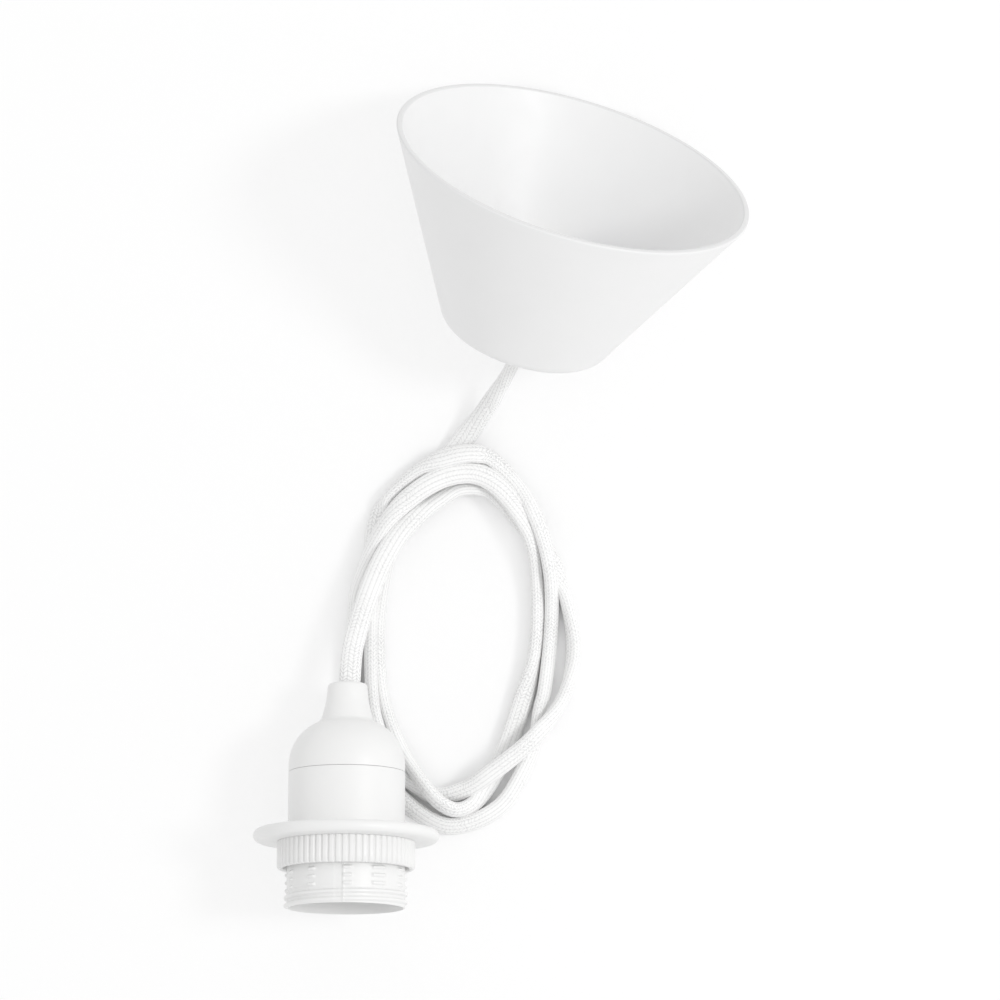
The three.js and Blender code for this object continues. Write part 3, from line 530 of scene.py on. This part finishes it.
def cord_stops():
    """The points that the cord's middle line runs through, each with its roll."""
    stops = [
        (cup_frame.point(0, 0, CORD_FROM), 0),
        (cup_frame.point(0, 0, HOOK_FROM), 0),
        (cup_frame.point(0, 0, 0), HOLE_ROLL),
    ]
    stops += [(Vector(row[:3]) * MM, row[3]) for row in ROUTE]
    stops += [
        (holder_frame.point(0, 0, NECK_TOP_AT - NECK_ENTRY), 0),
        (holder_frame.point(0, 0, GRIP_TOP), 0),
        (holder_frame.point(0, 0, CORD_TO), 0),
    ]
    return stops


def through(points, i, t):
    """A centripetal curve's point in its stretch i, at t from 0 to 1."""
    p1, p2 = points[i], points[i + 1]
    p0 = points[i - 1] if i > 0 else 2 * p1 - p2
    p3 = points[i + 2] if i + 2 < len(points) else 2 * p2 - p1
    d0, d1, d2 = [math.sqrt((b - a).length) for a, b in ((p0, p1), (p1, p2), (p2, p3))]
    m1 = ((p1 - p0) / d0 - (p2 - p0) / (d0 + d1) + (p2 - p1) / d1) * d1
    m2 = ((p2 - p1) / d1 - (p3 - p1) / (d1 + d2) + (p3 - p2) / d2) * d1
    return (
        p1 * (2 * t**3 - 3 * t**2 + 1)
        + m1 * (t**3 - 2 * t**2 + t)
        + p2 * (3 * t**2 - 2 * t**3)
        + m2 * (t**3 - t**2)
    )


RING_STEP = 0.9 * MM
FINE = 24  # points to a stretch, before they are spread evenly


def cord_path():
    """Even points along the cord, with the roll at each, and the cord's length."""
    stops = cord_stops()
    points = [p for p, _ in stops]
    fine, rolls = [], []
    for i in range(len(stops) - 1):
        for k in range(FINE):
            t = k / FINE
            fine.append(through(points, i, t))
            ease = t * t * (3 - 2 * t)
            rolls.append(stops[i][1] * (1 - ease) + stops[i + 1][1] * ease)
    fine.append(points[-1])
    rolls.append(stops[-1][1])
    run = [0.0]
    for a, b in zip(fine, fine[1:]):
        run.append(run[-1] + (b - a).length)
    count = round(run[-1] / RING_STEP)
    path, turned, j = [], [], 0
    for k in range(count + 1):
        s = run[-1] * k / count
        while j < len(run) - 2 and run[j + 1] < s:
            j += 1
        t = (s - run[j]) / (run[j + 1] - run[j])
        path.append(fine[j].lerp(fine[j + 1], min(1, t)))
        turned.append(math.radians(rolls[j] * (1 - t) + rolls[j + 1] * t))
    return path, turned, run[-1]


CORD_SIDES = 64
COLUMN_DEPTH = 0.08  # how far the braid's columns stand out, in millimetres
SQUARENESS = 2.1  # 2 is an oval


def cord_section(k):
    """A point of the flat section, in millimetres. The braid's columns stand out a little."""
    angle = 2 * math.pi * k / CORD_SIDES
    c, s = math.cos(angle), math.sin(angle)
    across = math.copysign(abs(c) ** (2 / SQUARENESS), c) * CORD_WIDTH / 2
    up = math.copysign(abs(s) ** (2 / SQUARENESS), s) * CORD_THICKNESS / 2
    lobe = abs(math.sin(math.pi * BRAID_COLUMNS * k / CORD_SIDES))
    inwards = COLUMN_DEPTH * (1 - lobe) / math.hypot(across, up)
    return across * (1 - inwards), up * (1 - inwards)


def build_cord():
    path, rolls, length = cord_path()
    section = [cord_section(k) for k in range(CORD_SIDES)]
    vertices, faces = [], []
    up = Vector((0, 0, 1))
    last = len(path) - 1
    for i, here in enumerate(path):
        tangent = (path[min(i + 1, last)] - path[max(i - 1, 0)]).normalized()
        across = Matrix.Rotation(rolls[i], 3, tangent) @ up.cross(tangent).normalized()
        other = tangent.cross(across)
        vertices += [here + (across * a + other * b) * MM for a, b in section]
    for i in range(last):
        for k in range(CORD_SIDES):
            j = (k + 1) % CORD_SIDES
            a, b = i * CORD_SIDES, (i + 1) * CORD_SIDES
            faces.append((a + k, a + j, b + j, b + k))
    faces.append(tuple(reversed(range(CORD_SIDES))))
    faces.append(tuple(last * CORD_SIDES + k for k in range(CORD_SIDES)))
    nodes = ("cord_from_cup", "cord_coil", "cord_to_holder")
    cord = make("textile_cord", vertices, faces, "textile_braid", nodes, smooth_angle=60)
    layer = cord.data.uv_layers.new(name="braid")
    uvs = []
    each = length / last / MM
    for i in range(last):
        for k in range(CORD_SIDES):
            u0, u1 = BRAID_COLUMNS * k / CORD_SIDES, BRAID_COLUMNS * (k + 1) / CORD_SIDES
            v0, v1 = i * each, (i + 1) * each
            uvs += [u0, v0, u1, v0, u1, v1, u0, v1]
    uvs += [0.5, 0.0] * (2 * CORD_SIDES)
    layer.data.foreach_set("uv", uvs)
    print("cord length", round(length, 4))


build_cord()


# Ceiling cup

def build_cup():
    across = CUP_WALL / math.cos(CUP_SLOPE)
    inner_end = CUP_END_RADIUS + CUP_WALL * math.tan(CUP_SLOPE) - across
    profile = [
        (CUP_HOLE, 0),
        (CUP_END_RADIUS, 0, CUP_CORNER),
        (CUP_RIM_RADIUS, CUP_HEIGHT, CUP_RIM_ROUND),
        (CUP_RIM_RADIUS - across, CUP_HEIGHT, CUP_RIM_ROUND),
        (inner_end, CUP_WALL, CUP_CORNER - CUP_WALL),
        (CUP_HOLE, CUP_WALL),
    ]
    points = outline(profile, 10)
    lathe("ceiling_cup_skin", cup_frame, points, CUP_SIDES, "cup_plastic", ["ceiling_cup"])


build_cup()


# Lamp holder

THREAD_FLANK = (0.1, 0.95)  # where the thread's wave is bottom and top
MOUTH_FADE = 0.35  # over this height the thread rises from the mouth
STUB_FLANK = (0.35, 0.95)
STUB_SIDE = 0.02  # in radians
WHOLE_FADE = 0.5  # to either side of where the whole thread ends
STUB_FADE = 0.4
STUB_ROWS = (5.2, 12.2)  # between these heights the thread is broken into short stubs
STUBS = (  # the middle and half width of each group of stubs, in degrees
    (-154, 4),
    (-122.5, 3.6),
    (-86.2, 3.9),
    (-54.5, 7.2),
    (-22.5, 4.5),
    (10, 7),
    (45, 4),
    (80, 7),
    (115, 4),
    (150, 7),
    (178, 4),
)
PARTING_AT = math.radians(-90.3)
PARTING_HALF = math.radians(1.5)
PARTING_HEIGHT = 0.25
STUB_HEIGHT = 0.75  # as a share of the thread's depth
STRIP_HALF = math.radians(4.2)
STRIP_DEPTH = 0.14
SKIRT_END = 12.4  # up to here the skirt has relief
SKIRT_STEPS = 62
SKIRT_FOOT = 0.15  # the lowest row of the skirt's side
MOUTH_TAPER = 4.5  # how deep the mouth narrows from its thin lip to the bore
MOUTH_LIP = 0.35
MOUTH_INSET = 0.2  # how far the lip's outer edge lies inside the skirt's side


def smooth(value, low, high):
    t = max(0.0, min(1.0, (value - low) / (high - low)))
    return t * t * (3 - 2 * t)


def turn_between(a, b):
    return abs((a - b + math.pi) % (2 * math.pi) - math.pi)


def skirt_relief(radius, z, angle):
    """The outer thread, its stubs and the mould's parting line on the skirt."""
    if abs(radius - SKIRT_RADIUS) > 0.01 or z > SKIRT_END:
        return radius
    wave = 0.5 + 0.5 * math.sin(2 * math.pi * (z - THREAD_START) / THREAD_PITCH - angle)
    low, high = STUB_ROWS
    whole = smooth(wave, *THREAD_FLANK) * (1 - smooth(z, low - WHOLE_FADE, low + WHOLE_FADE))
    off = min(turn_between(angle, math.radians(at)) - math.radians(half) for at, half in STUBS)
    within = (1 - smooth(off, -STUB_SIDE, STUB_SIDE)) * (1 - smooth(z, high - STUB_FADE, high))
    stub = STUB_HEIGHT * smooth(wave, *STUB_FLANK) * within
    away = (angle - PARTING_AT + math.pi) % (2 * math.pi) - math.pi
    line = PARTING_HEIGHT * (1 - smooth(abs(away), 0.3 * PARTING_HALF, PARTING_HALF))
    strip = STRIP_DEPTH if -2 * STRIP_HALF < away < 0 else 0
    mouth = smooth(z, 0, MOUTH_FADE)
    return radius + THREAD_DEPTH * max(whole, stub) * mouth + line - strip


def build_body():
    lip = SKIRT_RADIUS - MOUTH_INSET
    lower = [Vector((lip - MOUTH_LIP, 0)), Vector((lip, 0))]
    rise = SKIRT_END - SKIRT_FOOT
    heights = [SKIRT_FOOT + rise * k / SKIRT_STEPS for k in range(SKIRT_STEPS + 1)]
    skirt = [Vector((SKIRT_RADIUS, height)) for height in heights]
    top = FLANGE_AT + FLANGE_THICKNESS
    corners = [
        (SKIRT_RADIUS, SKIRT_END),
        (SKIRT_RADIUS, FLANGE_AT, FLANGE_FILLET),
        (FLANGE_RADIUS, FLANGE_AT, FLANGE_ROUND),
        (FLANGE_RADIUS, top, FLANGE_ROUND),
        (BODY_RADIUS, top, BODY_FILLET),
        (BODY_RADIUS, BODY_TOP, SEAM_ROUND),
        (SPIGOT_RADIUS, BODY_TOP),
        (SPIGOT_RADIUS, SPIGOT_TOP),
        (SPIGOT_RADIUS - SPIGOT_WALL, SPIGOT_TOP),
        (BODY_BORE, BODY_TOP),
        (BODY_BORE, LEDGE_AT),
        (LEDGE_BORE, LEDGE_AT),
        (LEDGE_BORE, LEDGE_AT - LEDGE_DEPTH),
        (SKIRT_BORE, LEDGE_AT - LEDGE_DEPTH - LEDGE_SLOPE),
        (SKIRT_BORE, MOUTH_TAPER),
    ]
    points = lower + skirt + outline(corners)[1:]
    lathe(
        "lamp_holder_body", holder_frame, points, BODY_SIDES, "holder_plastic", ["holder_body"],
        relief=skirt_relief,
    )


def build_cap():
    bottom = BODY_TOP + SEAM
    profile = [
        (BODY_RADIUS - CAP_WALL, bottom),
        (BODY_RADIUS, bottom, SEAM_ROUND),
        (BODY_RADIUS, CAP_DOME_CORNER, CAP_DOME_RADIUS),
        (CAP_SHOULDER_RADIUS, CAP_SHOULDER_AT, CAP_SHOULDER_ROUND),
        (NECK_FOOT_RADIUS, NECK_FOOT_AT, NECK_FOOT_ROUND),
        (NECK_WAIST_RADIUS, NECK_WAIST_AT, NECK_WAIST_ROUND),
        (NECK_TOP_RADIUS, NECK_TOP_AT, NECK_TOP_ROUND),
        (NECK_BORE, NECK_TOP_AT, NECK_BORE_ROUND),
        (NECK_BORE, NECK_BORE_FROM),
        (GRIP_RECESS, NECK_BORE_FROM),
        (GRIP_RECESS, CAP_SHOULDER_AT - CAP_WALL),
        (CAP_SHOULDER_RADIUS, CAP_SHOULDER_AT - CAP_WALL),
        (BODY_RADIUS - CAP_WALL, CAP_DOME_CORNER - CAP_WALL, CAP_DOME_RADIUS - 2 * CAP_WALL),
    ]
    points = outline(profile, 12)
    lathe("holder_cap_skin", holder_frame, points, CAP_SIDES, "holder_plastic", ["holder_cap"])


RIB_TURN = math.radians(-1.6)
RIB_FACES = 14  # to a rib and its groove
GROOVE_FLOOR = 0.05  # half of it, as a share of the ribs' pitch
GROOVE_EDGE = 0.27
RING_CHAMFER = 0.5
RING_BORE_CHAMFER = 0.4


def ring_relief(radius, z, angle):
    """Ribs round the shade ring, with narrow grooves between them."""
    if radius < RING_RADIUS - RING_CHAMFER - 0.01:
        return radius
    share = ((angle - RIB_TURN) * RING_RIBS / (2 * math.pi)) % 1
    groove = 1 - smooth(min(share, 1 - share), GROOVE_FLOOR, GROOVE_EDGE)
    return radius - RIB_DEPTH * groove


def build_ring():
    bottom = RING_TOP - RING_HEIGHT
    profile = [
        (RING_BORE + RING_BORE_CHAMFER, bottom),
        (RING_RADIUS - RING_CHAMFER, bottom),
        (RING_RADIUS, bottom + RING_CHAMFER),
        (RING_RADIUS, RING_TOP),
        (RING_BORE, RING_TOP),
        (RING_BORE, bottom + RING_BORE_CHAMFER),
    ]
    points = filled([Vector(p) for p in profile], RING_STRETCH)
    lathe(
        "shade_ring_skin", holder_frame, points, RING_RIBS * RIB_FACES, "holder_plastic",
        ["shade_ring"], body="ring", relief=ring_relief, smooth_angle=50,
    )


def shell_relief(radius, z, angle):
    """The lamp thread rolled into the contact shell. It fades out over its last turn."""
    wave = 0.5 + 0.5 * math.sin(2 * math.pi * (z - SHELL_FROM) / SHELL_PITCH - angle)
    fade = max(0.0, min(1.0, (SHELL_THREAD_TOP - z) / SHELL_PITCH))
    return radius + SHELL_DEPTH * wave * fade


def build_shell():
    outer = SHELL_BORE + SHELL_WALL
    profile = [
        (SHELL_BORE, SHELL_FROM),
        (outer, SHELL_FROM),
        (outer, SHELL_TOP),
        (SHELL_LIP_RADIUS, SHELL_TOP),
        (SHELL_LIP_RADIUS, SHELL_TOP - SHELL_WALL),
        (SHELL_BORE, SHELL_TOP - SHELL_WALL),
    ]
    points = filled([Vector(p) for p in profile], SHELL_STRETCH)
    lathe(
        "screw_shell_skin", holder_frame, points, SHELL_SIDES, "zinc_steel", ["screw_shell"],
        relief=shell_relief, smooth_angle=50,
    )


build_body()
build_cap()
build_ring()
build_shell()


# The other solids keep their shape and get their finish

SLOTS = {part["node"]: part["material_slot"] for part in frame["record"]["subparts"]}
for node_name, node in frame["nodes"].items():
    node.data.materials.clear()
    node.data.materials.append(materials[SLOTS[node_name]])


# Floor and light

FLOOR_AT = -0.0002
FLOOR_REACH = 8
FLOOR_WHITE = (0.94, 0.94, 0.94)
PAPER_WHITE = (0.95, 0.95, 0.95)
FLOOR_OWN_WHITE = 0.7
FLOOR_NEAR = 0.009  # how near a thing takes the floor's own white away
CREVICE_POWER = 1.4  # how fast it goes there
SKY_LEVEL = 0.86
KEY_AT = (0.92, 0.12, 1.25)
KEY_POWER = 6.4
KEY_SIZE = 0.35


def seen_straight(tree):
    """1 where the camera, a mirror or a glass looks, and 0 where the light is worked out."""
    path = tree.nodes.new("ShaderNodeLightPath")
    value = path.outputs["Is Camera Ray"]
    for name in ("Is Glossy Ray", "Is Transmission Ray"):
        either = tree.nodes.new("ShaderNodeMath")
        either.operation = "MAXIMUM"
        tree.links.new(value, either.inputs[0])
        tree.links.new(path.outputs[name], either.inputs[1])
        value = either.outputs[0]
    return value


def build_floor():
    """A white table. What the camera sees of it is partly its own white, so that wide shadows
    stay faint, but not where things stand close around it."""
    signs = ((-1, -1), (1, -1), (1, 1), (-1, 1))
    corners = [(FLOOR_REACH * x, FLOOR_REACH * y, FLOOR_AT) for x, y in signs]
    mesh = bpy.data.meshes.new("floor")
    mesh.from_pydata(corners, [], [(0, 1, 2, 3)])
    n = Nodes("floor")
    cloud = n.ramp(n.noise(n.place(), FLOOR_CLOUDS), 0, 1)
    n.shade(
        Base_Color=n.blend(cloud, FLOOR_WHITE, PAPER_WHITE),
        Roughness=0.9,
        Specular_IOR_Level=0.1,
    )
    white = n.add("ShaderNodeEmission", {"Color": (1, 1, 1, 1), "Strength": 1.0})
    clear = n.add("ShaderNodeAmbientOcclusion", {"Distance": FLOOR_NEAR}, samples=8).outputs["AO"]
    own = n.math("MULTIPLY", n.math("POWER", clear, CREVICE_POWER), FLOOR_OWN_WHITE)
    mixed = n.add("ShaderNodeMixShader", {0: n.math("MULTIPLY", seen_straight(n.tree), own)})
    n.tree.links.new(n.shader.outputs[0], mixed.inputs[1])
    n.tree.links.new(white.outputs[0], mixed.inputs[2])
    n.tree.links.new(mixed.outputs[0], n.tree.nodes["Material Output"].inputs["Surface"])
    mesh.materials.append(n.material)
    floor = bpy.data.objects.new("floor", mesh)
    bpy.context.scene.collection.objects.link(floor)


def area_light(name, at, size, power):
    data = bpy.data.lights.new(name, "AREA")
    data.shape = "DISK"
    data.size = size
    data.energy = power
    light = bpy.data.objects.new(name, data)
    light.location = at
    light.rotation_euler = (-Vector(at)).to_track_quat("-Z", "Y").to_euler()
    bpy.context.scene.collection.objects.link(light)


def build_sky():
    """Even light from all round. Seen straight on it is white."""
    world = bpy.data.worlds.new("world")
    world.use_nodes = True
    tree = world.node_tree
    level = tree.nodes.new("ShaderNodeMapRange")
    level.inputs["To Min"].default_value = SKY_LEVEL
    level.inputs["To Max"].default_value = 1.0
    tree.links.new(seen_straight(tree), level.inputs["Value"])
    background = tree.nodes["Background"]
    background.inputs["Color"].default_value = (1, 1, 1, 1)
    tree.links.new(level.outputs["Result"], background.inputs["Strength"])
    bpy.context.scene.world = world


build_floor()
build_sky()
area_light("key", KEY_AT, KEY_SIZE, KEY_POWER)
